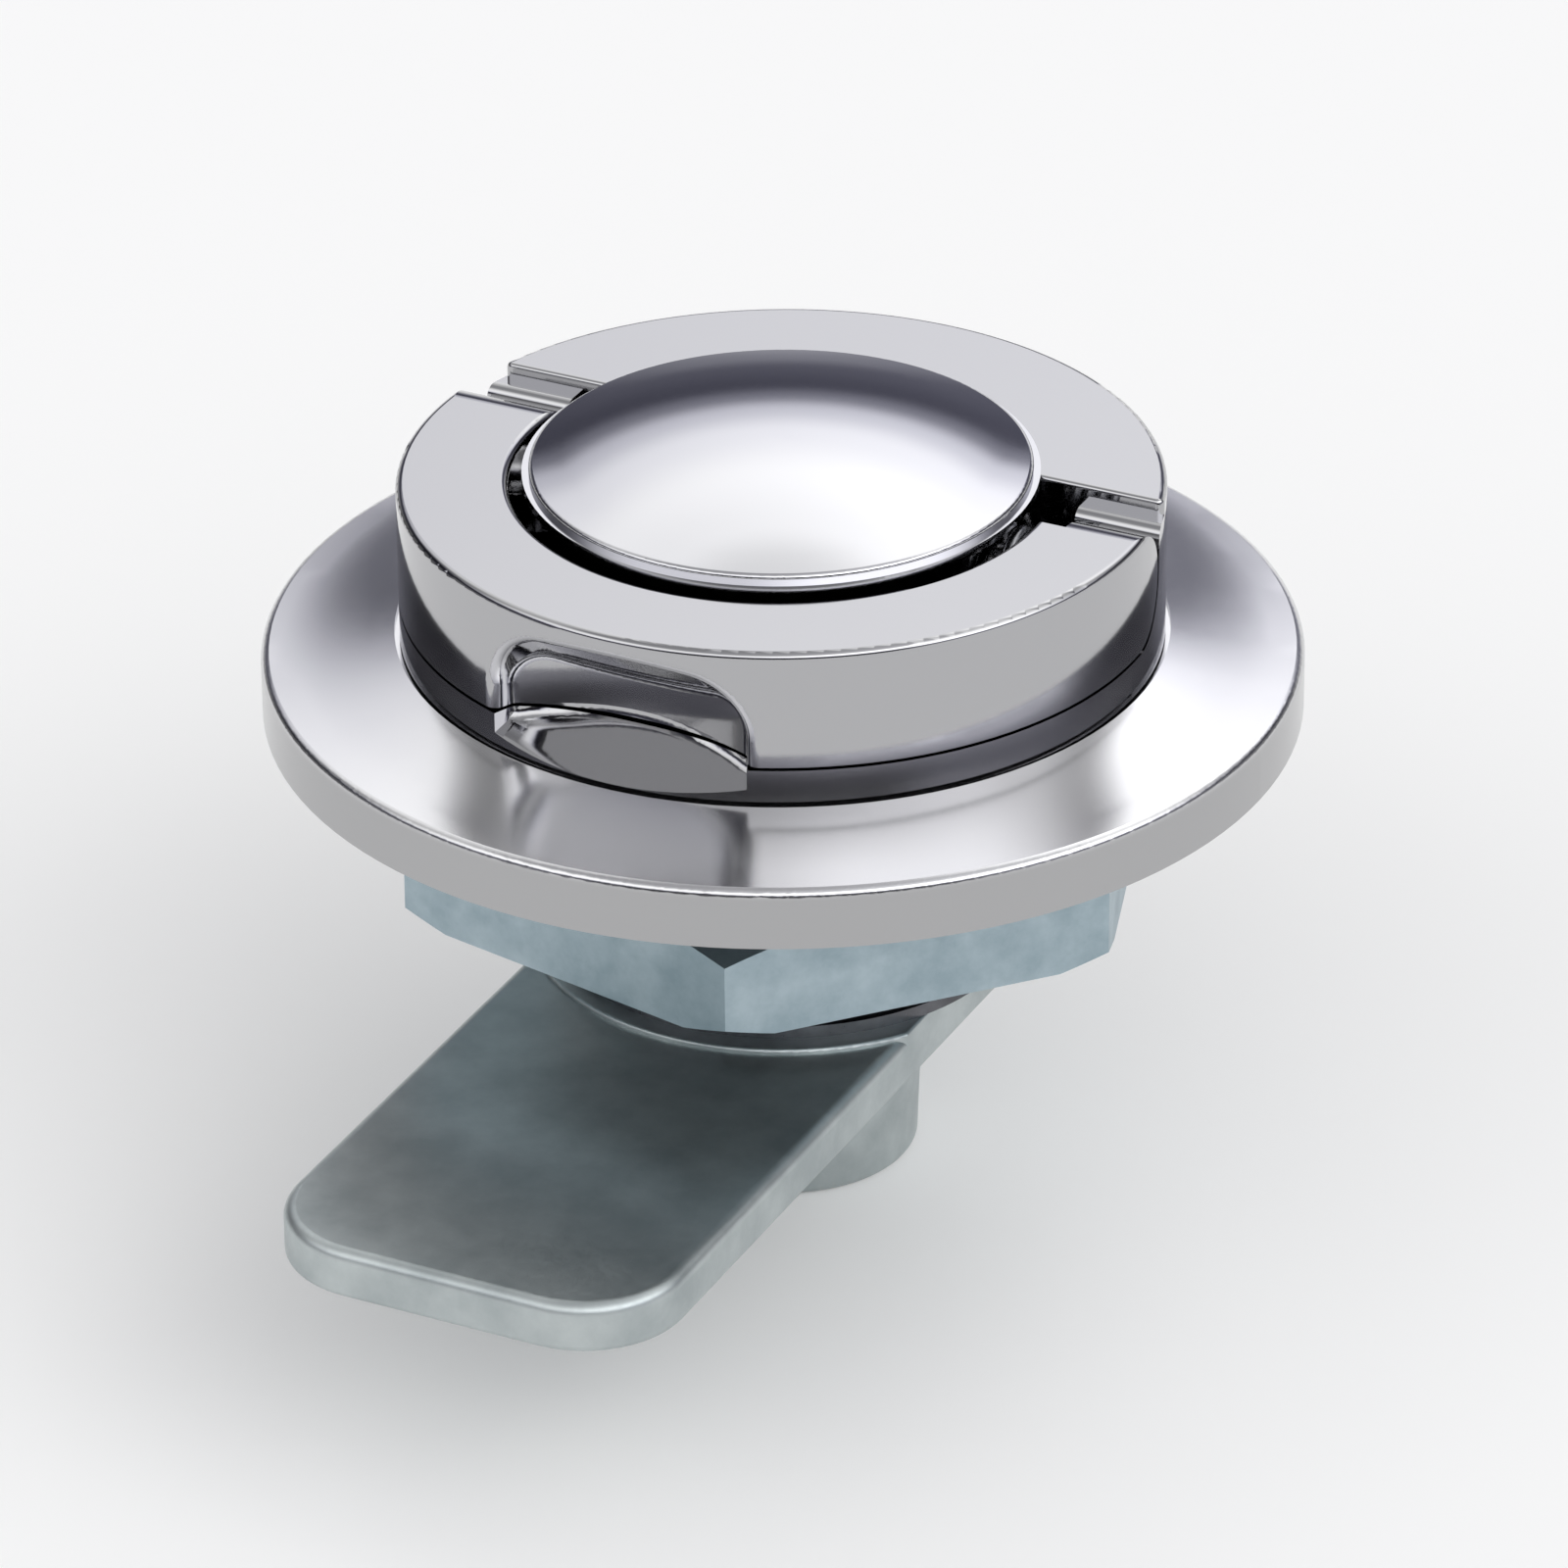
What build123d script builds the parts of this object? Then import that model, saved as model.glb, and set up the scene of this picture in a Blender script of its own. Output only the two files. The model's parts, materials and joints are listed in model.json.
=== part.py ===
from build123d import *
import os
from math import cos, radians, sin, sqrt, tan

# Round cam lock with a flip-up ring handle, for a sheet-metal door.
# The flange seats on the outside of the door and the threaded barrel passes through it.
# A nut clamps the door from inside, and the cam on the spindle's end catches the frame.
# Sizes are in millimetres. The origin is on the turning axis, in the plane of the
# flange's underside. +Z points out of the door, and the cam points along -Y.

# Clearances between pieces
slip = 0.05             # radial, round a shaft, a screw or a thread's root
turn_gap = 0.2          # between the rotor's collar and the flange
swing_gap = 0.3         # round whatever swings with the handle

# Housing: flange and threaded barrel, one zinc casting
flange_radius = 30.0
rim_height = 3.6
rim_round = 0.5
crown_height = 4.68     # the flange's top where it meets the collar
crown_sag = 0.16        # hollow of the flange's top between crown and rim
seat_depth = 0.28       # recess that the collar turns in
barrel_radius = 13.1    # at the root of its thread, where the nut's bore fits
thread_height = 0.7     # the crests' height over the root
flat_depth = 1.1        # of each of the barrel's two flats, below the crests
barrel_length = 14.2
barrel_chamfer = 0.5
seal_inset = 4.6        # from the flange's edge to the middle of the seal's groove
seal_groove_width = 2.8
seal_groove_depth = 1.5

# Panel nut
panel_gap = 4.3         # room for the door sheet under the flange
nut_width = 40.6        # across flats
nut_thickness = 5.6
nut_corner_cut = 1.35   # how far in from the corners their chamfer reaches
nut_chamfer_angle = 30.0
nut_bore_chamfer = 0.5
nut_corner_angle = 18.0  # of one corner, from -Y towards +X

# Rotor head: collar, hub and fixed rear part of the ring
collar_radius = 22.0
collar_height = 2.2
ring_height = 7.1
ring_width = 6.4        # from the ring's hole to its outside
ring_edge = 0.4         # rounding of the ring's outer and inner edges
hub_gap = 2.2           # between the ring's hole and the hub
hub_wall = 2.4
hub_floor = 0.8         # thickness under the hub's bore, above the collar
rear_face = 6.15        # front face of the ring's rear part
slot_width = 5.2        # between the rear part and the handle's top
shelf_drop = 1.0        # step in the rear part, below the ring's top
shelf_gap = 0.6         # from the ring's hole to the shelf's inner end
shelf_lip = 0.7         # rounding of the shelf's front edge, over the knuckle
slot_edge = 0.25        # rounding of the rear part's edge along the slot
boss_radius = 3.0

# Finger scoop, half in the handle and half in the collar
scoop_half_width = 8.5
scoop_cover = 1.12      # height of the ring left above its mouth
scoop_depth = 4.2
scoop_corner = 4.0
scoop_corner_taper = 29.0
scoop_side_draft = 23.0
scoop_roof_slope = 39.0
scoop_floor_slope = 26.0
scoop_plan_radius = 19.0
scoop_lip = 0.7
scoop_root = 0.8        # rounding inside, round the dished back
scoop_run_out = 1.5     # of the hollow past the collar's edge
scoop_run_in = 0.6      # of the arch past the dished back

# Hinge
pin_radius = 1.5
pin_inset = 1.0         # how far the pin stands into the hub's bore
pin_grip = 4.6          # how far the pin reaches into the handle's arm
pin_chamfer = 0.25
spring_wire = 0.8
spring_play = 0.45      # between the spring's coil and the pin
spring_side_play = 0.2  # between the spring's coil and the hub and its pocket
spring_turns = 3.5
spring_pocket = 1.8     # depth of the handle's pocket for the coil
spring_leg = 3.4

# Dome cap
cap_overhang = 1.0      # of the dome past the hub
cap_rise = 1.35
cap_edge = 0.45         # height of the dome's upright edge
cap_edge_round = 0.27
cap_ledge = 0.4         # of the step under the dome past the dome
cap_base_height = 0.5
cap_spigot_height = 1.1
cap_skirt_height = 4.0
cap_skirt_wall = 1.2

# Spindle and its seal
square_width = 8.0
square_length = 7.85
square_chamfer = 0.6
seal_wire_radius = 0.95
seal_depth = 2.8        # from the flange's underside to the middle of the seal
seal_groove_play = 0.15

# Index balls in the collar, and the track that they run in
ball_radius = 1.5
ball_inset = 3.4        # from the collar's edge to the balls' circle
ball_angle = 45.0       # each side of +Y
ball_sink = 0.15        # how far a ball's centre lies above the collar's underside
ball_hole_depth = 7.0
track_play = 0.12       # between a ball and its track
dimple_extra = 0.13     # depth of a dimple below the track
coil_wire = 0.4
coil_play = 0.25        # between the ball's spring and its hole
coil_turns = 3.0
wire_sides = 6          # of a spring wire's section, which stands for a round one

# Quarter-turn stop
turn_angle = 90.0
stop_washer_thickness = 0.75
stop_washer_inset = 0.2  # of the washer's edge from the barrel's
stop_wall = 1.8         # of the barrel round the disc spring's counterbore, at the root
stop_step = 2.3         # from the counterbore's wall in to the spindle
disc_spring_room = 0.6
stop_tab_height = 1.1
stop_tab_angle = 22.0
stop_play_angle = 3.0
disc_spring_thickness = 0.5
disc_spring_cone = 0.6
disc_spring_play = 0.3  # of the disc spring's edge in its counterbore
disc_spring_bore_play = 0.2
stop_tab_play = 0.3     # between the stop's tab and the counterbore

# Cam
cam_width = 24.2
cam_reach = 43.4        # from the turning axis to the tip
cam_tail = 12.5
cam_thickness = 3.0
cam_corner = 6.0
cam_edge = 0.7
cam_under_edge = 0.42
cam_seat_height = 0.3   # of the round seat for the stop washer, above the blade
cam_seat_margin = 1.1   # of the seat past the barrel
cam_seat_edge = 0.2
cam_hub_wall = 1.5      # round the screw head's room, at the hub's end
cam_hub_taper = 0.4     # growth of the hub's radius towards the blade
cam_hub_rim = 0.3       # how far the hub stands past the screw's head
cam_hub_edge = 0.6

# Cam's fastener
screw_radius = 3.0
screw_length = 13.0
screw_chamfer = 0.5
screw_head_radius = 5.25
screw_head_height = 3.1
screw_crown_share = 0.55            # the head's flat crown, of its radius
screw_cheek_share = (0.86, 0.66)    # a point of the head's round, of its radius and height
screw_socket = 4.0
screw_socket_depth = 1.9
head_room = 0.95        # between the screw's head and the hub's counterbore
cam_washer_play = 0.3
cam_washer_thickness = 1.0
spring_washer_radius = 5.2
spring_washer_thickness = 1.3
spring_washer_split = 0.6
split_angle = 25.0      # of the spring washer's split
washer_bore_play = 0.2  # between the cam's washer and the screw

# Radii that follow from the sizes above
crest_radius = barrel_radius + thread_height
barrel_flat = crest_radius - flat_depth
seal_groove_radius = flange_radius - seal_inset
stop_counterbore = barrel_radius - stop_wall
stop_washer_radius = crest_radius - stop_washer_inset
spindle_radius = stop_counterbore - stop_step
ring_hole_radius = collar_radius - ring_width
shelf_inner = ring_hole_radius + shelf_gap
ball_circle = collar_radius - ball_inset
coil_radius = ball_radius + slip - coil_play - coil_wire / 2
hub_radius = ring_hole_radius - hub_gap
hub_bore_radius = hub_radius - hub_wall
pin_inner = hub_bore_radius - pin_inset
spring_coil_radius = pin_radius + spring_play + spring_wire / 2
cap_radius = hub_radius + cap_overhang
cap_base_radius = cap_radius + cap_ledge
cam_counterbore = screw_head_radius + head_room
cam_washer_radius = cam_counterbore - cam_washer_play
cam_hub_tip_radius = cam_counterbore + cam_hub_wall
cam_hub_radius = cam_hub_tip_radius + cam_hub_taper
cam_seat_radius = crest_radius + cam_seat_margin

# Heights that follow from the sizes above
seat_top = crown_height - seat_depth
collar_base = seat_top + turn_gap
collar_top = collar_base + collar_height
handle_base = collar_top + turn_gap
ring_top = handle_base + ring_height
hinge_y = rear_face - slot_width
hinge_z = handle_base + ring_height / 2
knuckle_radius = ring_height / 2
knuckle_seat = knuckle_radius + swing_gap
nut_top = -panel_gap
nut_base = nut_top - nut_thickness
barrel_end = -barrel_length
shoulder = barrel_end - turn_gap
cam_seat = shoulder - stop_washer_thickness
cam_top = cam_seat - cam_seat_height
cam_base = cam_top - cam_thickness
stop_counterbore_depth = disc_spring_cone + disc_spring_thickness + disc_spring_room - turn_gap
square_end = cam_top - square_length
washer_top = square_end - turn_gap
spring_washer_top = washer_top - cam_washer_thickness
screw_seat = spring_washer_top - spring_washer_thickness
screw_head_base = screw_seat - screw_head_height
cam_hub_base = screw_head_base - cam_hub_rim


def cylinder(radius, low, high):
    """An upright cylinder on the turning axis between two heights."""
    return Pos(0, 0, low) * Cylinder(radius, high - low, align=(Align.CENTER, Align.CENTER, Align.MIN))


def ring(outer, inner, low, high):
    """An upright ring on the turning axis between two heights."""
    return cylinder(outer, low, high) - cylinder(inner, low, high)


def across(radius, start, end):
    """A cylinder along the hinge axis, between two X places."""
    bar = Cylinder(radius, end - start, align=(Align.CENTER, Align.CENTER, Align.MIN))
    return Pos(start, hinge_y, hinge_z) * Rot(0, 90, 0) * bar


def turned(*lines):
    """A solid turned about the lock's axis from a closed chain of lines in the XZ plane."""
    return revolve(Plane.XZ * make_face(Curve() + list(lines)), Axis.Z)


def sector(outer, inner, low, high, start, sweep):
    """Part of a ring, from a start angle measured from +X and over a sweep angle."""
    middle = (outer + inner) / 2
    section = Pos(middle, (low + high) / 2) * Rectangle(outer - inner, high - low)
    return Rot(0, 0, start) * revolve(Plane.XZ * section, Axis.Z, sweep)


def round_edges(solid, radius, *tests):
    """Rounds the edges of a solid that pass one of the tests."""
    edges = [edge for edge in solid.edges() if any(test(edge) for test in tests)]
    return fillet(edges, radius)


def circle_at(radius, height):
    """A test for arcs round the turning axis of one radius and height."""
    def test(edge):
        if edge.geom_type != GeomType.CIRCLE or abs(edge.radius - radius) > 0.01:
            return False
        return abs(edge.center().Z - height) < 0.01
    return test


def coil(radius, wire, turns, length, place):
    """A helical spring along a placed Z axis, its wire's centre running from end to end."""
    path = Helix(length / turns, length, radius)
    start = Plane(origin=path @ 0, z_dir=path % 0)
    return place * sweep(start * RegularPolygon(wire / 2, wire_sides), path=path, is_frenet=True)


def scoop():
    """The finger scoop's hollow: a drafted arch with a sloping floor and a dished back."""
    mouth = -collar_radius
    back = mouth + scoop_depth
    front = mouth - scoop_run_out
    crown = ring_top - scoop_cover

    def arch(y):
        run = y - mouth
        half = scoop_half_width - run * tan(radians(scoop_side_draft))
        top = crown - run * tan(radians(scoop_roof_slope))
        bottom = crown_height + turn_gap + run * tan(radians(scoop_floor_slope))
        corner = scoop_corner - run * tan(radians(scoop_corner_taper))
        plane = Plane(origin=(0, y, (top + bottom) / 2), x_dir=(1, 0, 0), z_dir=(0, -1, 0))
        outline = Rectangle(2 * half, top - bottom)
        upper = outline.vertices().sort_by(Axis.Y)[-2:]
        return plane * fillet(upper, corner)

    hollow = loft([arch(front), arch(back + scoop_run_in)])
    plan_centre = back - scoop_plan_radius
    plan = Pos(0, plan_centre, 0) * cylinder(scoop_plan_radius, 0, ring_top + 5)
    hollow &= plan
    dished = [e for e in hollow.edges() if is_on_plan(e, plan_centre)]
    return fillet(dished, scoop_root)


def is_on_plan(edge, plan_centre):
    """True for the edges round the scoop's dished back."""
    points = [edge @ share for share in (0.1, 0.5, 0.9)]
    return all(abs(sqrt(p.X ** 2 + (p.Y - plan_centre) ** 2) - scoop_plan_radius) < 0.01 for p in points)


def make_housing():
    """Flange and barrel, with the stop's notch, the ball track and the seal's groove."""
    bore = spindle_radius + slip
    seat_radius = collar_radius + swing_gap
    floor = barrel_end + stop_counterbore_depth
    crown = (seat_radius, crown_height)
    rim = (flange_radius, rim_height)
    middle = ((crown[0] + rim[0]) / 2, (crown[1] + rim[1]) / 2 - crown_sag)
    body = turned(
        Polyline((bore, floor), (bore, seat_top), (seat_radius, seat_top), crown),
        ThreePointArc(crown, middle, rim),
        Polyline(rim, (flange_radius, 0), (barrel_radius, 0), (barrel_radius, barrel_end)),
        Polyline((barrel_radius, barrel_end), (stop_counterbore, barrel_end), (stop_counterbore, floor)),
        Line((stop_counterbore, floor), (bore, floor)),
    )
    body = round_edges(body, rim_round, circle_at(flange_radius, rim_height))
    body = chamfer([e for e in body.edges() if circle_at(barrel_radius, barrel_end)(e)], barrel_chamfer)
    body -= ring(
        seal_groove_radius + seal_groove_width / 2,
        seal_groove_radius - seal_groove_width / 2,
        0,
        seal_groove_depth,
    )
    side = barrel_radius - barrel_flat
    for x in (-1, 1):
        flat = Box(
            2 * side, 2 * barrel_radius, barrel_length, align=(Align.CENTER, Align.CENTER, Align.MAX)
        )
        body -= Pos(x * (barrel_flat + side), 0, 0) * flat
    reach = stop_tab_angle + 2 * stop_play_angle + turn_angle
    start = -90 - stop_tab_angle / 2 - stop_play_angle
    body -= sector(crest_radius, stop_counterbore - slip, barrel_end, floor, start, reach)
    track_height = collar_base + ball_sink
    body -= Pos(0, 0, track_height) * Torus(ball_circle, ball_radius + track_play)
    for quarter in range(4):
        angle = radians(ball_angle + 90 * quarter)
        place = Pos(ball_circle * cos(angle), ball_circle * sin(angle), track_height)
        body -= place * Sphere(ball_radius + track_play + dimple_extra)
    return body


def make_panel_seal():
    """Flat rubber ring that fills the groove under the flange."""
    half = seal_groove_width / 2 - slip
    return ring(seal_groove_radius + half, seal_groove_radius - half, 0, seal_groove_depth)


def make_panel_nut():
    """Thin hexagon nut with its corners turned off on both faces."""
    corner = nut_width / 2 / cos(radians(30))
    face_radius = corner - nut_corner_cut
    drop = nut_corner_cut * tan(radians(nut_chamfer_angle))
    hexagon = RegularPolygon(corner, 6, major_radius=True, rotation=nut_corner_angle - 90)
    body = extrude(Pos(0, 0, nut_base) * hexagon, nut_thickness)
    envelope = turned(
        Polyline((0, nut_base), (face_radius, nut_base), (corner, nut_base + drop)),
        Polyline((corner, nut_base + drop), (corner, nut_top - drop), (face_radius, nut_top)),
        Polyline((face_radius, nut_top), (0, nut_top), (0, nut_base)),
    )
    body &= envelope
    hole = barrel_radius + slip
    body -= cylinder(hole, nut_base, nut_top)
    rims = [e for e in body.edges() if circle_at(hole, nut_base)(e) or circle_at(hole, nut_top)(e)]
    return chamfer(rims, nut_bore_chamfer)


def rear_part():
    """The ring's fixed rear part, with the step and the hollow seats for the knuckles."""
    low_reach = sqrt(knuckle_seat ** 2 - (hinge_z - collar_top) ** 2)
    shelf = ring_top - shelf_drop
    lip = hinge_y + knuckle_seat
    foot = (hinge_y + low_reach, collar_top)
    turn = radians(-45)
    mid = (hinge_y + knuckle_seat * cos(turn), hinge_z + knuckle_seat * sin(turn))
    far = collar_radius + 2
    lip_turn = RadiusArc((lip, shelf - shelf_lip), (lip + shelf_lip, shelf), shelf_lip)
    edge_turn = RadiusArc((rear_face, ring_top - slot_edge), (rear_face + slot_edge, ring_top), slot_edge)
    arm_outline = Curve() + [
        Line((far, collar_top), foot),
        ThreePointArc(foot, mid, (lip, hinge_z)),
        Line((lip, hinge_z), lip_turn @ 0),
        lip_turn,
        Polyline(lip_turn @ 1, (rear_face, shelf), edge_turn @ 0),
        edge_turn,
        Polyline(edge_turn @ 1, (far, ring_top), (far, collar_top)),
    ]
    arm_section = Plane.YZ * make_face(arm_outline)
    arms = []
    for side in (-1, 1):
        arms.append(Pos(side * shelf_inner, 0, 0) * extrude(arm_section, side * (far - shelf_inner)))
    middle_outline = Curve() + [
        Line((rear_face, collar_top), edge_turn @ 0),
        edge_turn,
        Polyline(edge_turn @ 1, (far, ring_top), (far, collar_top), (rear_face, collar_top)),
    ]
    middle = extrude(Plane.YZ * make_face(middle_outline), far, both=True)
    return cylinder(collar_radius, collar_top, ring_top) & (middle + arms)


def make_rotor():
    """Collar, hub, rear part of the ring, and the spindle with its square end."""
    body = cylinder(collar_radius, collar_base, collar_top)
    body += cylinder(hub_radius, collar_top, ring_top)
    body += rear_part()
    boss_end = sqrt(ring_hole_radius ** 2 - (hinge_y + boss_radius) ** 2) - swing_gap
    body += across(boss_radius, -boss_end, -hub_bore_radius)
    body += cylinder(spindle_radius, shoulder, collar_base)
    body = round_edges(body, ring_edge, circle_at(collar_radius, ring_top))
    end = Rectangle(square_width, square_width)
    end = chamfer(end.vertices(), square_chamfer)
    body += extrude(Pos(0, 0, square_end) * end, shoulder - square_end)
    body -= cylinder(hub_bore_radius, collar_top + hub_floor, ring_top)
    body -= across(pin_radius + slip / 2, -ring_hole_radius, ring_hole_radius)
    groove = spindle_radius - 2 * seal_wire_radius
    half = seal_wire_radius + seal_groove_play
    body -= ring(spindle_radius + 1, groove, -seal_depth - half, -seal_depth + half)
    for side in (-1, 1):
        body -= ball_place(side) * cylinder(ball_radius + slip, collar_base, collar_base + ball_hole_depth)
    body -= cylinder(screw_radius + slip, square_end, screw_seat + screw_length + 1)
    return body - scoop()


def make_flip_handle():
    """The front part of the ring, with rounded knuckles that turn on the hinge pins."""
    whole = ring(collar_radius, ring_hole_radius, handle_base, ring_top)
    whole = round_edges(
        whole,
        ring_edge,
        circle_at(collar_radius, ring_top),
        circle_at(ring_hole_radius, ring_top),
    )
    reach = collar_radius + 1
    front = Pos(0, hinge_y, handle_base) * Box(
        2 * reach, reach + hinge_y, ring_height, align=(Align.CENTER, Align.MAX, Align.MIN)
    )
    body = whole & (front + across(knuckle_radius, -reach, reach))
    grip = ring_hole_radius + pin_grip
    body -= across(pin_radius + slip, -grip - slip, grip + slip)
    pocket = ring_hole_radius + spring_pocket
    body -= across(spring_coil_radius + spring_wire / 2 + spring_side_play, 0, pocket)
    cut = Box(pocket, knuckle_radius + 1, ring_height + 1, align=(Align.MIN, Align.MIN, Align.CENTER))
    body -= Pos(0, hinge_y, hinge_z) * cut
    leg_room = Box(
        spring_wire + 2 * slip,
        spring_leg + spring_coil_radius,
        spring_wire + 2 * slip,
        align=(Align.CENTER, Align.MAX, Align.CENTER),
    )
    body -= Pos(spring_far(), hinge_y, hinge_z + spring_coil_radius) * leg_room
    body -= scoop()
    lip = [e for e in body.edges() if is_scoop_lip(e)]
    return fillet(lip, scoop_lip)


def is_scoop_lip(edge):
    """True for the edges where the scoop breaks through the handle's outer wall."""
    point = edge @ 0.5
    on_wall = abs(sqrt(point.X ** 2 + point.Y ** 2) - collar_radius) < 0.02
    inside = abs(point.X) < scoop_half_width + 0.3 and point.Y < 0
    return on_wall and inside and handle_base + 0.05 < point.Z < ring_top - 1


def make_dome_cap():
    """Shallow dome on a stepped rim, with a spigot for the hub and a skirt that holds the pins."""
    base_top = ring_top + cap_base_height
    edge_top = base_top + cap_edge
    apex = edge_top + cap_rise
    sphere_radius = (cap_radius ** 2 + cap_rise ** 2) / (2 * cap_rise)
    half = cap_radius / 2
    middle = (half, apex - sphere_radius + sqrt(sphere_radius ** 2 - half ** 2))
    spigot = hub_bore_radius - slip
    spigot_base = ring_top - cap_spigot_height
    skirt = pin_inner - slip
    skirt_base = spigot_base - cap_skirt_height
    inner = skirt - cap_skirt_wall
    body = turned(
        ThreePointArc((0, apex), middle, (cap_radius, edge_top)),
        Polyline((cap_radius, edge_top), (cap_radius, base_top), (cap_base_radius, base_top)),
        Polyline((cap_base_radius, base_top), (cap_base_radius, ring_top), (spigot, ring_top)),
        Polyline((spigot, ring_top), (spigot, spigot_base), (skirt, spigot_base), (skirt, skirt_base)),
        Polyline((skirt, skirt_base), (inner, skirt_base), (inner, spigot_base), (0, spigot_base)),
        Line((0, spigot_base), (0, apex)),
    )
    return round_edges(body, cap_edge_round, circle_at(cap_radius, edge_top))


def make_hinge_pin(side):
    """Plain pin from the hub's bore into one of the handle's arms."""
    start = pin_inner
    end = ring_hole_radius + pin_grip - slip
    pin = across(pin_radius, start, end) if side > 0 else across(pin_radius, -end, -start)
    return chamfer(pin.edges().filter_by(GeomType.CIRCLE), pin_chamfer)


def spring_near():
    """X place of the torsion spring's first turn, beside the hub."""
    return hub_radius + spring_wire / 2 + spring_side_play


def spring_far():
    """X place of the torsion spring's last turn, in the handle's pocket."""
    return ring_hole_radius + spring_pocket - spring_wire / 2 - spring_side_play / 2


def make_handle_spring():
    """Torsion spring round the right pin, with one leg along the handle's arm."""
    length = spring_far() - spring_near()
    place = Pos(spring_near(), hinge_y, hinge_z) * Rot(0, 90, 0)
    body = coil(spring_coil_radius, spring_wire, spring_turns, length, place)
    end = Vector(spring_far(), hinge_y, hinge_z + spring_coil_radius)
    leg = Cylinder(spring_wire / 2, spring_leg, align=(Align.CENTER, Align.CENTER, Align.MIN))
    body += Pos(*end) * Rot(90, 0, 0) * leg
    return body


def make_spindle_seal():
    """Rubber ring in the spindle's groove."""
    return Pos(0, 0, -seal_depth) * Torus(spindle_radius - seal_wire_radius + slip / 2, seal_wire_radius)


def ball_place(side):
    """Place of one index ball's hole, left or right of the rear part's middle."""
    angle = radians(90 - side * ball_angle)
    return Pos(ball_circle * cos(angle), ball_circle * sin(angle), 0)


def make_index_ball(side):
    """Steel ball that clicks into the flange's dimples each quarter turn."""
    return ball_place(side) * Pos(0, 0, collar_base + ball_sink) * Sphere(ball_radius)


def make_index_spring(side):
    """Coil spring that presses one index ball down."""
    low = collar_base + ball_sink + ball_radius + coil_wire / 2 + slip
    high = collar_base + ball_hole_depth - coil_wire / 2 - slip
    return coil(coil_radius, coil_wire, coil_turns, high - low, ball_place(side) * Pos(0, 0, low))


def make_disc_spring():
    """Conical spring washer that takes up the spindle's end play."""
    outer = stop_counterbore - disc_spring_play
    inner = spindle_radius + disc_spring_bore_play
    low = shoulder + turn_gap / 2
    high = low + disc_spring_cone
    return turned(
        Polyline((inner, low), (outer, high), (outer, high + disc_spring_thickness)),
        Polyline((outer, high + disc_spring_thickness), (inner, low + disc_spring_thickness), (inner, low)),
    )


def square_hole(low, high):
    """The square that a piece on the spindle's end is keyed by."""
    width = square_width + 2 * slip
    return Pos(0, 0, low) * Box(width, width, high - low, align=(Align.CENTER, Align.CENTER, Align.MIN))


def make_stop_washer():
    """Keyed washer whose tab runs in the barrel's notch and limits the turn."""
    body = cylinder(stop_washer_radius, cam_seat, shoulder)
    tab_inner = stop_counterbore + stop_tab_play
    tab_top = shoulder + stop_tab_height
    tab_start = -90 - stop_tab_angle / 2
    body += sector(stop_washer_radius, tab_inner, cam_seat, tab_top, tab_start, stop_tab_angle)
    return body - square_hole(cam_seat, shoulder)


def make_cam():
    """Flat cam with a raised round seat, cast in one with the hub that takes the square."""
    length = cam_reach + cam_tail
    outline = Pos(0, cam_tail - length / 2) * RectangleRounded(cam_width, length, cam_corner)
    blade = extrude(Pos(0, 0, cam_base) * outline, cam_thickness)
    blade = fillet(blade.faces().sort_by(Axis.Z)[-1].edges(), cam_edge)
    blade = fillet(blade.faces().sort_by(Axis.Z)[0].edges(), cam_under_edge)
    raised = extrude(Pos(0, 0, cam_top - 2 * cam_edge) * outline, 2 * cam_edge + cam_seat_height)
    raised = fillet(raised.faces().sort_by(Axis.Z)[-1].edges(), cam_seat_edge)
    disc = cylinder(cam_seat_radius, cam_base, cam_seat)
    seat = raised & round_edges(disc, cam_seat_edge, circle_at(cam_seat_radius, cam_seat))
    root = cam_base + cam_thickness / 3
    hub = turned(
        Polyline((0, root), (cam_hub_radius, root), (cam_hub_radius, cam_base)),
        Polyline((cam_hub_radius, cam_base), (cam_hub_tip_radius, cam_hub_base)),
        Polyline((cam_hub_tip_radius, cam_hub_base), (0, cam_hub_base), (0, root)),
    )
    hub = round_edges(hub, cam_hub_edge, circle_at(cam_hub_tip_radius, cam_hub_base))
    body = blade + seat + hub
    body -= square_hole(washer_top, cam_seat)
    return body - cylinder(cam_counterbore, cam_hub_base, washer_top)


def make_cam_washer():
    """Flat washer under the spring washer, bearing on the hub's inner step."""
    return ring(cam_washer_radius, screw_radius + washer_bore_play, spring_washer_top, washer_top)


def make_spring_washer():
    """Split spring washer."""
    body = ring(spring_washer_radius, screw_radius + 3 * slip, screw_seat, spring_washer_top)
    height = 3 * spring_washer_thickness
    split = Box(
        spring_washer_split, spring_washer_radius, height, align=(Align.CENTER, Align.MAX, Align.CENTER)
    )
    return body - Pos(0, 0, (screw_seat + spring_washer_top) / 2) * Rot(0, split_angle, 0) * split


def make_cam_screw():
    """Button-head socket screw that holds the cam on the spindle."""
    screw_tip = screw_seat + screw_length
    crown_radius = screw_head_radius * screw_crown_share
    mid = (screw_head_radius * screw_cheek_share[0], screw_seat - screw_head_height * screw_cheek_share[1])
    body = turned(
        Polyline((0, screw_tip), (screw_radius, screw_tip), (screw_radius, screw_seat)),
        Polyline((screw_radius, screw_seat), (screw_head_radius, screw_seat)),
        ThreePointArc((screw_head_radius, screw_seat), mid, (crown_radius, screw_head_base)),
        Polyline((crown_radius, screw_head_base), (0, screw_head_base), (0, screw_tip)),
    )
    body = chamfer([e for e in body.edges() if circle_at(screw_radius, screw_tip)(e)], screw_chamfer)
    socket = RegularPolygon(screw_socket / 2, 6, major_radius=False)
    return body - extrude(Pos(0, 0, screw_head_base) * socket, screw_socket_depth)


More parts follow.
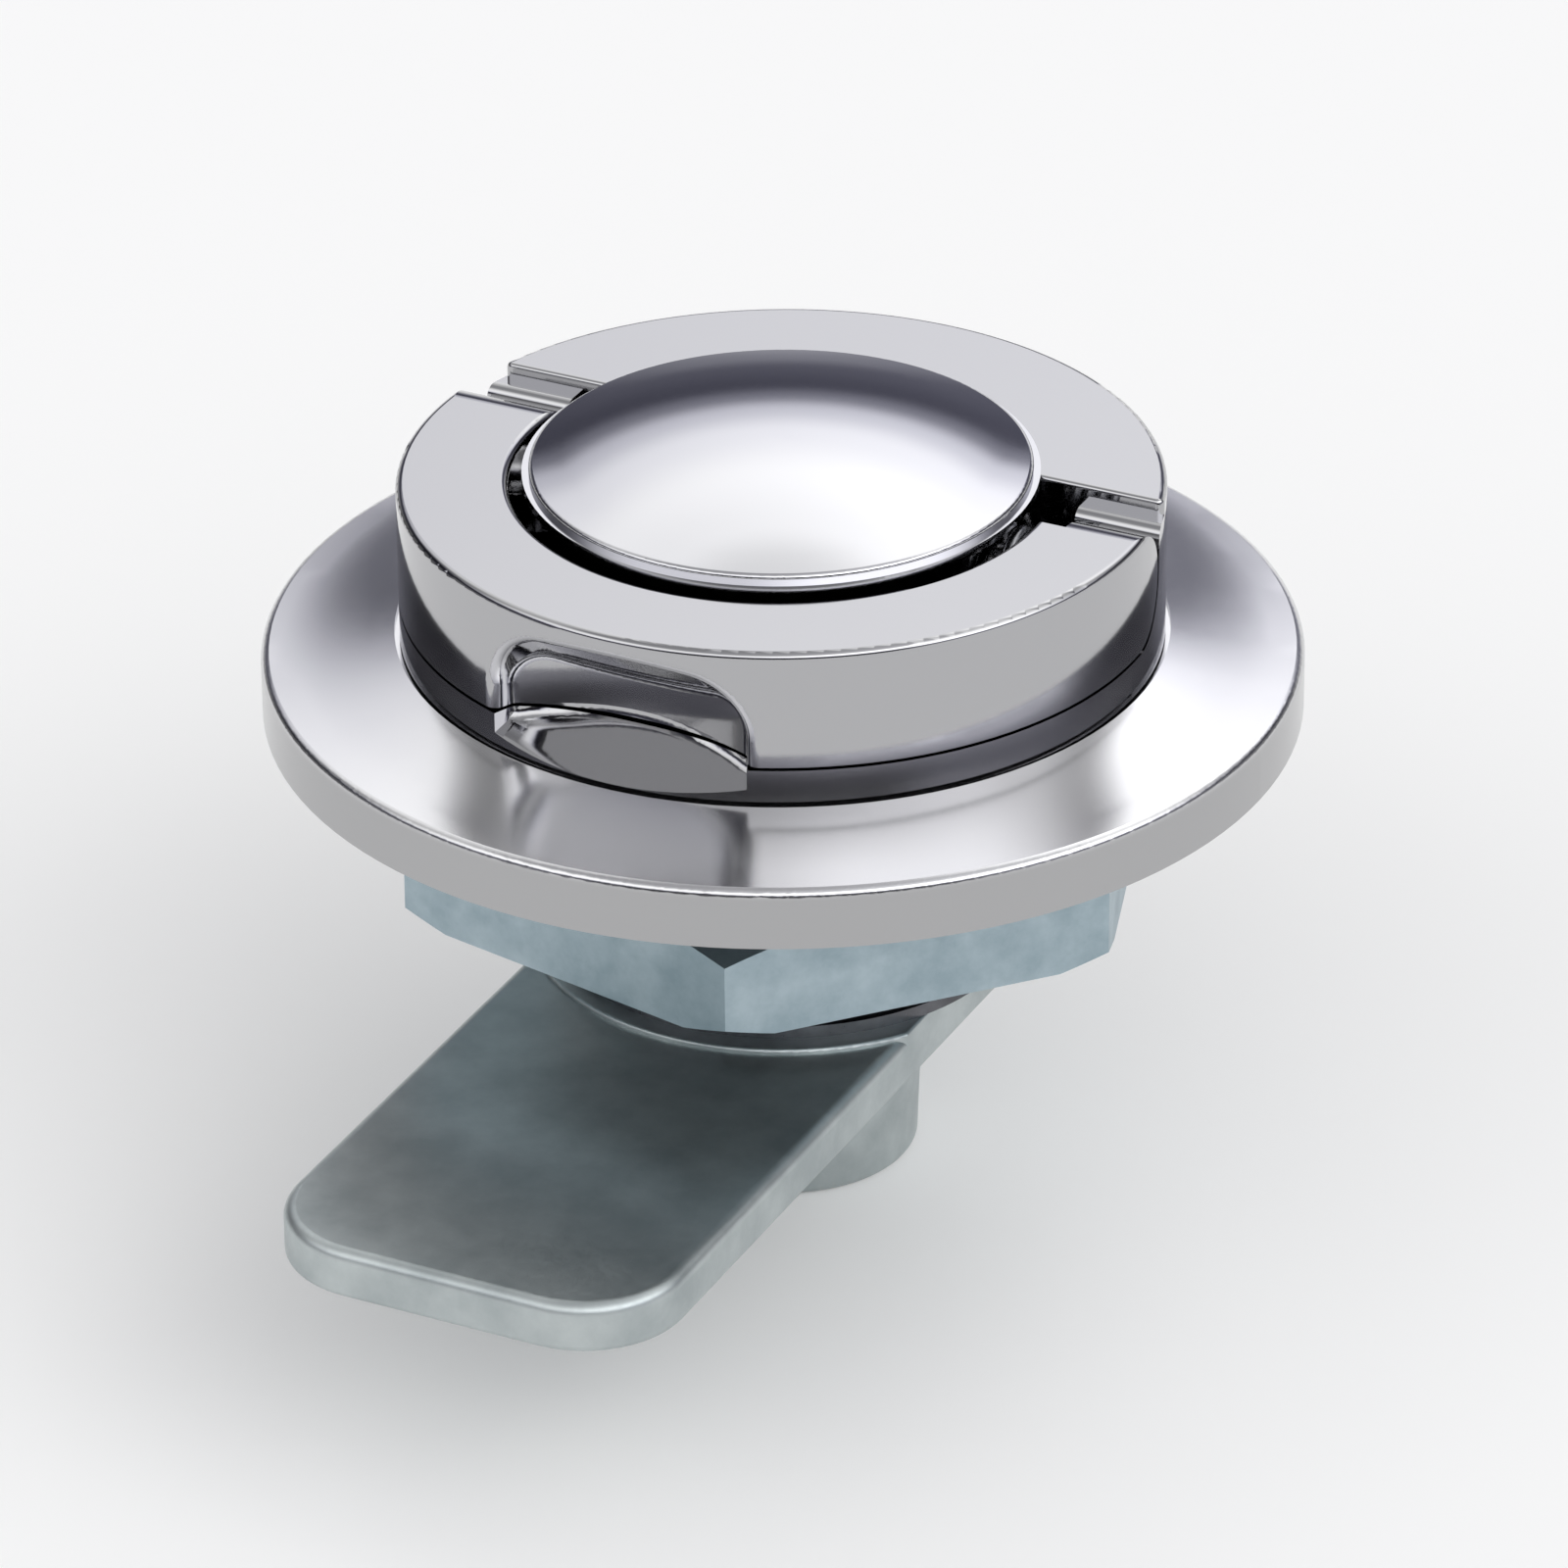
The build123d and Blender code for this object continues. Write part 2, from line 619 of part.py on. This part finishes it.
pieces = {
    "housing": make_housing(),
    "panel_seal": make_panel_seal(),
    "panel_nut": make_panel_nut(),
    "rotor": make_rotor(),
    "flip_handle": make_flip_handle(),
    "dome_cap": make_dome_cap(),
    "hinge_pin_left": make_hinge_pin(-1),
    "hinge_pin_right": make_hinge_pin(1),
    "handle_spring": make_handle_spring(),
    "spindle_seal": make_spindle_seal(),
    "index_ball_left": make_index_ball(-1),
    "index_ball_right": make_index_ball(1),
    "index_spring_left": make_index_spring(-1),
    "index_spring_right": make_index_spring(1),
    "disc_spring": make_disc_spring(),
    "stop_washer": make_stop_washer(),
    "cam": make_cam(),
    "cam_washer": make_cam_washer(),
    "spring_washer": make_spring_washer(),
    "cam_screw": make_cam_screw(),
}

os.makedirs("parts", exist_ok=True)
for name, piece in pieces.items():
    export_step(piece, f"parts/{name}.step")
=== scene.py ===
import json
import math

import bmesh
import bpy
from mathutils import Matrix, Vector


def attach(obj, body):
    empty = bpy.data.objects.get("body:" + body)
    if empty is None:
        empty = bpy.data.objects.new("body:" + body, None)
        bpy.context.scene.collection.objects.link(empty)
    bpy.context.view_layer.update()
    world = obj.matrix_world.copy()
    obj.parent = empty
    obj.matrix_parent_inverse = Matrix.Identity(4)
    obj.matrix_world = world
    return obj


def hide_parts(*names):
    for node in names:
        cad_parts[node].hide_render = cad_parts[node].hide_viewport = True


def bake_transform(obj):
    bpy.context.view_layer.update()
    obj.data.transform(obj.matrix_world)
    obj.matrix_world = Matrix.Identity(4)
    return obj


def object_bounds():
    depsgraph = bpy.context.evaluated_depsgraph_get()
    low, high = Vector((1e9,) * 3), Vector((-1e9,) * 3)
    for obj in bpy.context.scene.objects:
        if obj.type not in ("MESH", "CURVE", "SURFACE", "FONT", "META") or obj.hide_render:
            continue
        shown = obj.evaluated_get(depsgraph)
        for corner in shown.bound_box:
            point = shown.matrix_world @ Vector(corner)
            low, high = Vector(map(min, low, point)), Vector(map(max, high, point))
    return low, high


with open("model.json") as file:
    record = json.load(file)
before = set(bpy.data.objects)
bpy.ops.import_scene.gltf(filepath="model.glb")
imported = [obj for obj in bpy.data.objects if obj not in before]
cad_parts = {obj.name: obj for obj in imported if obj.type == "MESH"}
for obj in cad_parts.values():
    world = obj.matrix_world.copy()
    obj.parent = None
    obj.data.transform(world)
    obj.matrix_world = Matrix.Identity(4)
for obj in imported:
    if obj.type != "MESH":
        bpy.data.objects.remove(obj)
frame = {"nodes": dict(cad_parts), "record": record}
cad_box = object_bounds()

# Camera
# A product shot with a long lens, from 28.5 degrees above and 26 degrees to the right of the
# lock's front, with a trace of roll.
MM = 0.001
azimuth = math.radians(26.38)
elevation = math.radians(28.55)
roll = math.radians(-0.508)
camera_place = (221.76 * MM, -447.12 * MM, 265.58 * MM)
focal_length = 225
sight = Vector((
    -math.sin(azimuth) * math.cos(elevation),
    math.cos(azimuth) * math.cos(elevation),
    -math.sin(elevation),
))
lens = bpy.data.cameras.new("photo_camera")
lens.lens = focal_length
lens.sensor_width = 36
camera = bpy.data.objects.new("photo_camera", lens)
bpy.context.scene.collection.objects.link(camera)
upright = sight.to_track_quat("-Z", "Y").to_matrix()
camera.matrix_world = (upright @ Matrix.Rotation(roll, 3, "Z")).to_4x4()
camera.location = camera_place
bpy.context.scene.camera = camera
bpy.context.scene.view_settings.view_transform = "Standard"

# Studio
# A white table under a dome of soft light. Behind the lock stands one large bright panel over a
# dark horizon, with its lower edge higher at both sides, which gives the chrome its dark crescents.
# A second panel stands in front, above the camera, brighter on the right, over a dark foot.
table_size = 6.0
table_white = "#E9E9E8"
background_white = "#FFFFFF"
table_lift = 0.11
dome_power = 1.8
dome_bands = (
    (0.0, "#B4B4B4"),
    (4.0, "#9A9AA0"),
    (7.5, "#6A6A72"),
    (10.0, "#4A4A54"),
    (15.0, "#3C3C46"),
    (17.5, "#6A6A74"),
    (20.5, "#BCBCC4"),
    (25.0, "#E2E2E6"),
    (33.0, "#F4F4F4"),
    (41.0, "#EDEDED"),
    (48.0, "#D0D0D0"),
    (58.0, "#949496"),
    (90.0, "#868688"),
)
# A place on the dome is a part of its radius: across the view, away from the camera, or up. The
# panel's edge, the sides and the foot change with the square of the way across. The other values
# are factors on the dome's brightness.
panel_edge_rise = 4.3
panel_edge_most = 0.12
edge_level_at = -0.1
edge_raised_at = 0.4
side_near = 0.08
side_far = 0.5
side_shade = 0.3
tilt_reach = 0.35
tilt_left = 0.72
tilt_right = 1.2
back_at = 0.5
front_at = -0.4
front_lift = 1.5
front_height = 0.45
foot_height = 0.15
foot_near = 0.15
foot_far = 0.6
foot_middle = 0.15
foot_sides = 0.8


def linear(code):
    """An sRGB hex colour as linear red, green, blue and alpha."""
    channels = [int(code[i:i + 2], 16) / 255 for i in (1, 3, 5)]
    return (*[c / 12.92 if c <= 0.04045 else ((c + 0.055) / 1.055) ** 2.4 for c in channels], 1.0)


def node(tree, kind, settings, links):
    """Adds a shader node, sets its properties and sockets, and links its inputs."""
    made = tree.nodes.new(kind)
    for name, value in settings.items():
        if isinstance(name, int) or name in made.inputs:
            made.inputs[name].default_value = value
        else:
            setattr(made, name, value)
    for name, source in links.items():
        tree.links.new(source, made.inputs[name])
    return made


def ramp_stops(ramp, stops):
    """Sets a colour ramp's stops from pairs of position and hex colour."""
    while len(ramp.elements) < len(stops):
        ramp.elements.new(1.0)
    for element, (position, code) in zip(ramp.elements, stops):
        element.position = position
        element.color = linear(code)


def blank_material(name):
    """A material with an empty tree."""
    material = bpy.data.materials.new(name)
    material.use_nodes = True
    material.node_tree.nodes.clear()
    return material, material.node_tree


smooth = {"interpolation_type": "SMOOTHSTEP"}
studio = bpy.data.worlds.new("studio_dome")
studio.use_nodes = True
bpy.context.scene.world = studio
tree = studio.node_tree
tree.nodes.clear()
way = node(tree, "ShaderNodeTexCoord", {}, {})
turned = node(tree, "ShaderNodeVectorRotate", {"rotation_type": "Z_AXIS", "Angle": -azimuth}, {
    "Vector": way.outputs["Generated"],
})
split = node(tree, "ShaderNodeSeparateXYZ", {}, {"Vector": turned.outputs["Vector"]})
aside = node(tree, "ShaderNodeMath", {"operation": "MULTIPLY"}, {
    0: split.outputs["X"],
    1: split.outputs["X"],
})
rise = node(tree, "ShaderNodeMath", {"operation": "MULTIPLY", 1: panel_edge_rise}, {
    0: aside.outputs["Value"],
})
rise = node(tree, "ShaderNodeMath", {"operation": "MINIMUM", 1: panel_edge_most}, {
    0: rise.outputs["Value"],
})
behind = node(tree, "ShaderNodeMapRange", {
    **smooth,
    "From Min": edge_level_at,
    "From Max": edge_raised_at,
}, {"Value": split.outputs["Y"]})
rise = node(tree, "ShaderNodeMath", {"operation": "MULTIPLY"}, {
    0: rise.outputs["Value"],
    1: behind.outputs["Result"],
})
height = node(tree, "ShaderNodeMath", {"operation": "SUBTRACT"}, {
    0: split.outputs["Z"],
    1: rise.outputs["Value"],
})
bands = node(tree, "ShaderNodeValToRGB", {}, {"Fac": height.outputs["Value"]})
bands.color_ramp.interpolation = "EASE"
ramp_stops(bands.color_ramp, [(math.sin(math.radians(angle)), code) for angle, code in dome_bands])
shade = node(tree, "ShaderNodeMapRange", {
    **smooth,
    "From Min": side_near,
    "From Max": side_far,
    "To Min": 1.0,
    "To Max": side_shade,
}, {"Value": aside.outputs["Value"]})
tilt = node(tree, "ShaderNodeMapRange", {
    **smooth,
    "From Min": -tilt_reach,
    "From Max": tilt_reach,
    "To Min": dome_power * tilt_left,
    "To Max": dome_power * tilt_right,
}, {"Value": split.outputs["X"]})
front_foot = node(tree, "ShaderNodeMapRange", {
    **smooth,
    "From Min": foot_near,
    "From Max": foot_far,
    "To Min": foot_middle,
    "To Max": foot_sides,
}, {"Value": aside.outputs["Value"]})
front_panel = node(tree, "ShaderNodeMapRange", {
    **smooth,
    "From Min": foot_height,
    "From Max": front_height,
    "To Max": front_lift,
}, {"Value": split.outputs["Z"], "To Min": front_foot.outputs["Result"]})
front = node(tree, "ShaderNodeMapRange", {
    **smooth,
    "From Min": front_at,
    "From Max": back_at,
}, {
    "Value": split.outputs["Y"],
    "To Min": front_panel.outputs["Result"],
    "To Max": shade.outputs["Result"],
})
power = node(tree, "ShaderNodeMath", {"operation": "MULTIPLY"}, {
    0: front.outputs["Result"],
    1: tilt.outputs["Result"],
})
sky = node(tree, "ShaderNodeBackground", {}, {
    "Color": bands.outputs["Color"],
    "Strength": power.outputs["Value"],
})
node(tree, "ShaderNodeOutputWorld", {}, {"Surface": sky.outputs["Background"]})

mesh = bpy.data.meshes.new("table")
bm = bmesh.new()
bmesh.ops.create_grid(bm, x_segments=1, y_segments=1, size=table_size / 2)
bmesh.ops.translate(bm, verts=bm.verts, vec=(0, 0, cad_box[0].z))
bm.to_mesh(mesh)
bm.free()
table = bpy.data.objects.new("table", mesh)
bpy.context.scene.collection.objects.link(table)
material, tree = blank_material("white_table")
rays = node(tree, "ShaderNodeLightPath", {}, {})
seen = node(tree, "ShaderNodeMath", {"operation": "MAXIMUM"}, {
    0: rays.outputs["Is Camera Ray"],
    1: rays.outputs["Is Glossy Ray"],
})
shown = node(tree, "ShaderNodeMath", {"operation": "MAXIMUM"}, {
    0: seen.outputs["Value"],
    1: rays.outputs["Is Transmission Ray"],
})
lift = node(tree, "ShaderNodeMath", {"operation": "MULTIPLY", 1: table_lift}, {
    0: shown.outputs["Value"],
})
matt = node(tree, "ShaderNodeBsdfDiffuse", {"Color": linear(table_white)}, {})
glow = node(tree, "ShaderNodeEmission", {"Color": linear(background_white)}, {
    "Strength": lift.outputs["Value"],
})
both = node(tree, "ShaderNodeAddShader", {}, {0: matt.outputs["BSDF"], 1: glow.outputs["Emission"]})
node(tree, "ShaderNodeOutputMaterial", {}, {"Surface": both.outputs["Shader"]})
table.data.materials.append(material)

# Housing
# The flange and the threaded barrel are one zinc die casting under bright chromium. The plate is
# a little satin and keeps the casting's slow swells. Its colour is painted light: a greyer tint on
# the rim as painted shade, and a lighter tint on the flange's top. The thread is an M28 x 1.5
# form, interrupted by two flats that key the barrel in its hole.
# The rim's greyer tint is painted shade and the flange top's lighter tint is painted light, blended
# between the two heights below.
rim_chrome_painted_shade = "#AFAFB0"
flange_chrome_painted_light = "#D8D8DA"
rim_level = 3.0 * MM
flange_level = 3.6 * MM
satin_roughness = 0.16
chrome_swell = 8 * MM
chrome_swell_height = 0.004 * MM
chrome_haze = 0.4 * MM           # coarser than a real polishing haze, so that it shows
chrome_haze_depth = 0.03
thread_pitch = 1.5 * MM
thread_root = 13.1 * MM
thread_crest = 13.8 * MM
thread_sink = 0.05 * MM
thread_crest_width = 0.2 * MM
thread_root_width = 1.2 * MM
thread_flat = 12.7 * MM
thread_top = -0.9 * MM
thread_end = -12.0 * MM
thread_steps = 96


def chrome_plate(name, tints, roughness):
    """Bright chromium over a polished casting, its colour going from its tint low down to its tint on
    top, which paints light on the top where the two differ.
    """
    material, tree = blank_material(name)
    place = node(tree, "ShaderNodeTexCoord", {}, {})
    axes = node(tree, "ShaderNodeSeparateXYZ", {}, {"Vector": place.outputs["Object"]})
    level = node(tree, "ShaderNodeMapRange", {
        **smooth,
        "From Min": rim_level,
        "From Max": flange_level,
    }, {"Value": axes.outputs["Z"]})
    tint = node(tree, "ShaderNodeValToRGB", {}, {"Fac": level.outputs["Result"]})
    ramp_stops(tint.color_ramp, [(0.0, tints[0]), (1.0, tints[1])])
    swell = node(tree, "ShaderNodeTexNoise", {"Scale": 1 / chrome_swell, "Detail": 1.0}, {
        "Vector": place.outputs["Object"],
    })
    haze = node(tree, "ShaderNodeTexNoise", {"Scale": 1 / chrome_haze, "Detail": 4.0}, {
        "Vector": place.outputs["Object"],
    })
    gloss = node(tree, "ShaderNodeMapRange", {
        "To Min": roughness,
        "To Max": roughness + chrome_haze_depth,
    }, {"Value": haze.outputs["Fac"]})
    wave = node(tree, "ShaderNodeBump", {"Strength": 1.0, "Distance": chrome_swell_height}, {
        "Height": swell.outputs["Fac"],
    })
    plate = node(tree, "ShaderNodeBsdfPrincipled", {"Metallic": 1.0}, {
        "Base Color": tint.outputs["Color"],
        "Roughness": gloss.outputs["Result"],
        "Normal": wave.outputs["Normal"],
    })
    node(tree, "ShaderNodeOutputMaterial", {}, {"Surface": plate.outputs["BSDF"]})
    return material


def finish_node(name, material):
    """Gives a CAD node one material."""
    slots = frame["nodes"][name].data.materials
    slots.clear()
    slots.append(material)


satin_chrome = chrome_plate("satin_chrome_plate", (rim_chrome_painted_shade, flange_chrome_painted_light), satin_roughness)
finish_node("housing", satin_chrome)

mesh = bpy.data.meshes.new("barrel_thread")
bm = bmesh.new()
half_root = thread_root_width / 2
half_crest = thread_crest_width / 2
profile = [
    bm.verts.new((thread_root - thread_sink, 0, thread_top - thread_pitch / 2 - half_root)),
    bm.verts.new((thread_crest, 0, thread_top - thread_pitch / 2 - half_crest)),
    bm.verts.new((thread_crest, 0, thread_top - thread_pitch / 2 + half_crest)),
    bm.verts.new((thread_root - thread_sink, 0, thread_top - thread_pitch / 2 + half_root)),
]
start_face = bm.faces.new(profile)
turns = (thread_top - thread_end - thread_pitch) / thread_pitch
bmesh.ops.spin(
    bm,
    geom=[start_face, *start_face.edges, *profile],
    cent=(0, 0, 0),
    axis=(0, 0, 1),
    dvec=(0, 0, -thread_pitch / thread_steps),
    angle=-2 * math.pi * turns,
    steps=round(turns * thread_steps),
    use_duplicate=False,
)
for side in (-1, 1):
    cut = bmesh.ops.bisect_plane(
        bm,
        geom=[*bm.verts, *bm.edges, *bm.faces],
        plane_co=(side * thread_flat, 0, 0),
        plane_no=(side, 0, 0),
        clear_outer=True,
    )
    rim = [e for e in cut["geom_cut"] if isinstance(e, bmesh.types.BMEdge)]
    bmesh.ops.edgeloop_fill(bm, edges=rim)
bmesh.ops.recalc_face_normals(bm, faces=bm.faces)
bm.to_mesh(mesh)
bm.free()
thread = bpy.data.objects.new("barrel_thread", mesh)
bpy.context.scene.collection.objects.link(thread)
thread.data.materials.append(satin_chrome)
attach(thread, "lock_body")

# Panel seal
# A flat black rubber ring, moulded and pressed into the groove under the flange. It is matt, and
# the mould's fine grain is drawn a little coarser than it is, so that it shows.
rubber_black = "#1B1B1C"
rubber_roughness = 0.7
rubber_grain = 0.4 * MM
rubber_grain_depth = 0.02 * MM


def moulded_rubber():
    """Matt black rubber with a fine moulded grain."""
    material, tree = blank_material("moulded_rubber")
    place = node(tree, "ShaderNodeTexCoord", {}, {})
    grain = node(tree, "ShaderNodeTexNoise", {"Scale": 1 / rubber_grain, "Detail": 3.0}, {
        "Vector": place.outputs["Object"],
    })
    bump = node(tree, "ShaderNodeBump", {"Strength": 1.0, "Distance": rubber_grain_depth}, {
        "Height": grain.outputs["Fac"],
    })
    skin = node(tree, "ShaderNodeBsdfPrincipled", {
        "Base Color": linear(rubber_black),
        "Roughness": rubber_roughness,
    }, {"Normal": bump.outputs["Normal"]})
    node(tree, "ShaderNodeOutputMaterial", {}, {"Surface": skin.outputs["BSDF"]})
    return material


rubber = moulded_rubber()
finish_node("panel_seal", rubber)

# Panel nut
# A thin hexagon nut, cold formed from steel and plated with blue zinc. The plate is satin and a
# little cloudy, with cool and warm patches. Its grain is finer than the render can show, and is
# drawn at a third of a millimetre.
nut_tints = ("#99ABB3", "#B0C0C7")
nut_roughness = 0.42
nut_cloud = 3 * MM
nut_grain = 0.35 * MM
nut_grain_depth = 0.006 * MM
cloud_thin = 0.35
cloud_full = 0.65
grain_roughness = 0.07


def satin_metal(name, tints, roughness, cloud, grain, depth):
    """A satin metal, clouded between two tints, with a fine grain."""
    material, tree = blank_material(name)
    place = node(tree, "ShaderNodeTexCoord", {}, {})
    clouds = node(tree, "ShaderNodeTexNoise", {"Scale": 1 / cloud, "Detail": 5.0, "Roughness": 0.6}, {
        "Vector": place.outputs["Object"],
    })
    tint = node(tree, "ShaderNodeValToRGB", {}, {"Fac": clouds.outputs["Fac"]})
    ramp_stops(tint.color_ramp, [(cloud_thin, tints[0]), (cloud_full, tints[1])])
    grains = node(tree, "ShaderNodeTexNoise", {"Scale": 1 / grain, "Detail": 3.0}, {
        "Vector": place.outputs["Object"],
    })
    rough = node(tree, "ShaderNodeMapRange", {
        "To Min": roughness - grain_roughness,
        "To Max": roughness + grain_roughness,
    }, {"Value": grains.outputs["Fac"]})
    bump = node(tree, "ShaderNodeBump", {"Strength": 1.0, "Distance": depth}, {
        "Height": grains.outputs["Fac"],
    })
    metal = node(tree, "ShaderNodeBsdfPrincipled", {"Metallic": 1.0}, {
        "Base Color": tint.outputs["Color"],
        "Roughness": rough.outputs["Result"],
        "Normal": bump.outputs["Normal"],
    })
    node(tree, "ShaderNodeOutputMaterial", {}, {"Surface": metal.outputs["BSDF"]})
    return material


nut_zinc = satin_metal(
    "blue_zinc_plate",
    nut_tints,
    nut_roughness,
    nut_cloud,
    nut_grain,
    nut_grain_depth,
)
finish_node("panel_nut", nut_zinc)

# Rotor
# Collar, hub, the ring's fixed rear part and the spindle are one zinc casting. Its ring is buffed
# after casting and plated with bright chromium. Its colour is painted a shade greyer than the
# cap's, as painted shade.
ring_chrome_painted_shade = "#B3B3B5"
ring_roughness = 0.06
bright_chrome = chrome_plate("bright_chrome_plate", (ring_chrome_painted_shade, ring_chrome_painted_shade), ring_roughness)
finish_node("rotor", bright_chrome)

# Spindle seal
# A black rubber ring of the panel seal's rubber, moulded round and stretched over the spindle
# into its groove.
finish_node("spindle_seal", rubber)

# Index balls and their springs
# Two ground steel balls ride in a track in the flange, each pressed down by a short coil of
# drawn spring wire, and click into dimples at each quarter turn.
ball_tints = ("#B4B4B5", "#BFBFC0")
ball_roughness = 0.2
ball_cloud = 4 * MM
ball_grain = 0.2 * MM            # coarser than real ground steel, so that it shows
ball_grain_depth = 0.001 * MM
wire_tints = ("#8A8B8E", "#A0A1A5")
wire_roughness = 0.25
wire_cloud = 2 * MM
wire_grain = 0.2 * MM            # coarser than real drawn wire, so that it shows
wire_grain_depth = 0.002 * MM
ground_steel = satin_metal(
    "ground_steel",
    ball_tints,
    ball_roughness,
    ball_cloud,
    ball_grain,
    ball_grain_depth,
)
spring_wire = satin_metal(
    "drawn_spring_wire",
    wire_tints,
    wire_roughness,
    wire_cloud,
    wire_grain,
    wire_grain_depth,
)
for side in ("left", "right"):
    finish_node(f"index_ball_{side}", ground_steel)
    finish_node(f"index_spring_{side}", spring_wire)

# Hinge pins
# Two plain ground steel pins, pushed out through the hub into the handle's arms. The cap's skirt
# holds them from inside.
for side in ("left", "right"):
    finish_node(f"hinge_pin_{side}", ground_steel)

# Handle spring
# A torsion spring of round drawn wire on the right pin. One leg lies along the handle's arm and
# holds the handle down on the collar. The real spring winds as the handle flips, between spindle
# and handle; here it is drawn in one fixed shape.
handle_hinge = next(j for j in frame["record"]["behaviour"]["joints"] if j["name"] == "handle_flip")
hinge_y, hinge_z = handle_hinge["pos_m"][1:]
wire_radius = 0.4 * MM
coil_radius = 2.35 * MM
coil_turns = 3.5
coil_near = 14.0 * MM
coil_far = 16.9 * MM
coil_leg = 3.4 * MM
wire_sides = 16
steps_a_turn = 40

mesh = bpy.data.meshes.new("torsion_spring")
bm = bmesh.new()
wire_start = Matrix.Translation((coil_near, hinge_y, hinge_z - coil_radius))
across_wire = Matrix.Rotation(math.pi / 2, 4, "X")
bmesh.ops.create_circle(
    bm,
    cap_ends=True,
    segments=wire_sides,
    radius=wire_radius,
    matrix=wire_start @ across_wire,
)
coil_steps = round(coil_turns * steps_a_turn)
coiled = bmesh.ops.spin(
    bm,
    geom=[*bm.faces, *bm.edges, *bm.verts],
    cent=(0, hinge_y, hinge_z),
    axis=(1, 0, 0),
    dvec=((coil_far - coil_near) / coil_steps, 0, 0),
    angle=2 * math.pi * coil_turns,
    steps=coil_steps,
    use_duplicate=False,
)
end_face = [f for f in coiled["geom_last"] if isinstance(f, bmesh.types.BMFace)]
leg = bmesh.ops.extrude_face_region(bm, geom=end_face)
leg_tip = [v for v in leg["geom"] if isinstance(v, bmesh.types.BMVert)]
bmesh.ops.translate(bm, verts=leg_tip, vec=(0, -coil_leg, 0))
bmesh.ops.recalc_face_normals(bm, faces=bm.faces)
# The wire's wall is smooth, and its two ends are flat.
for face in bm.faces:
    face.smooth = len(face.verts) < wire_sides
bm.to_mesh(mesh)
bm.free()
torsion_spring = bpy.data.objects.new("torsion_spring", mesh)
bpy.context.scene.collection.objects.link(torsion_spring)
torsion_spring.data.materials.append(spring_wire)
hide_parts("handle_spring")
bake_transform(torsion_spring)

# Flip handle
# The front of the ring with its two round knuckles, a zinc casting. It is buffed and chromed like
# the rotor, with the same painted shade in its colour, so that both parts of the ring match.
finish_node("flip_handle", bright_chrome)

# Dome cap
# A shallow dome on a stepped rim, cast, chromed and pressed into the hub. Its plate is the
# brightest on the lock, and mirrors the studio clearly.
cap_chrome = "#CDCDD0"
cap_roughness = 0.06
mirror_chrome = chrome_plate("mirror_chrome_plate", (cap_chrome, cap_chrome), cap_roughness)
finish_node("dome_cap", mirror_chrome)

# Disc spring and stop washer
# A conical washer takes up the spindle's end play, and a keyed washer's tab limits its turn. Both
# are blanked from spring strip, oiled and dark, with a low gloss.
strip_tints = ("#5C5D60", "#6E6F73")
strip_roughness = 0.3
strip_cloud = 2 * MM
strip_grain = 0.2 * MM           # coarser than real rolled strip, so that it shows
strip_grain_depth = 0.002 * MM
spring_strip = satin_metal(
    "oiled_spring_strip",
    strip_tints,
    strip_roughness,
    strip_cloud,
    strip_grain,
    strip_grain_depth,
)
for name in ("disc_spring", "stop_washer"):
    finish_node(name, spring_strip)

# Cam
# A flat casting with its square-holed hub, barrelled smooth and zinc plated, so that its edges
# are soft and its face is a satin grey-green mirror.
cam_tints = ("#AEB6B7", "#C3CACA")
cam_roughness = 0.42
cam_cloud = 5 * MM
cam_grain = 0.3 * MM             # coarser than the real plate's grain, so that it shows
cam_grain_depth = 0.001 * MM
cam_zinc = satin_metal(
    "grey_zinc_plate",
    cam_tints,
    cam_roughness,
    cam_cloud,
    cam_grain,
    cam_grain_depth,
)
finish_node("cam", cam_zinc)

# Cam's washers and screw
# A zinc-plated flat washer, a split washer of spring steel and a zinc-plated button screw with a
# hexagon socket, all sunk in the cam's hub.
finish_node("cam_washer", nut_zinc)
finish_node("spring_washer", spring_strip)
finish_node("cam_screw", nut_zinc)
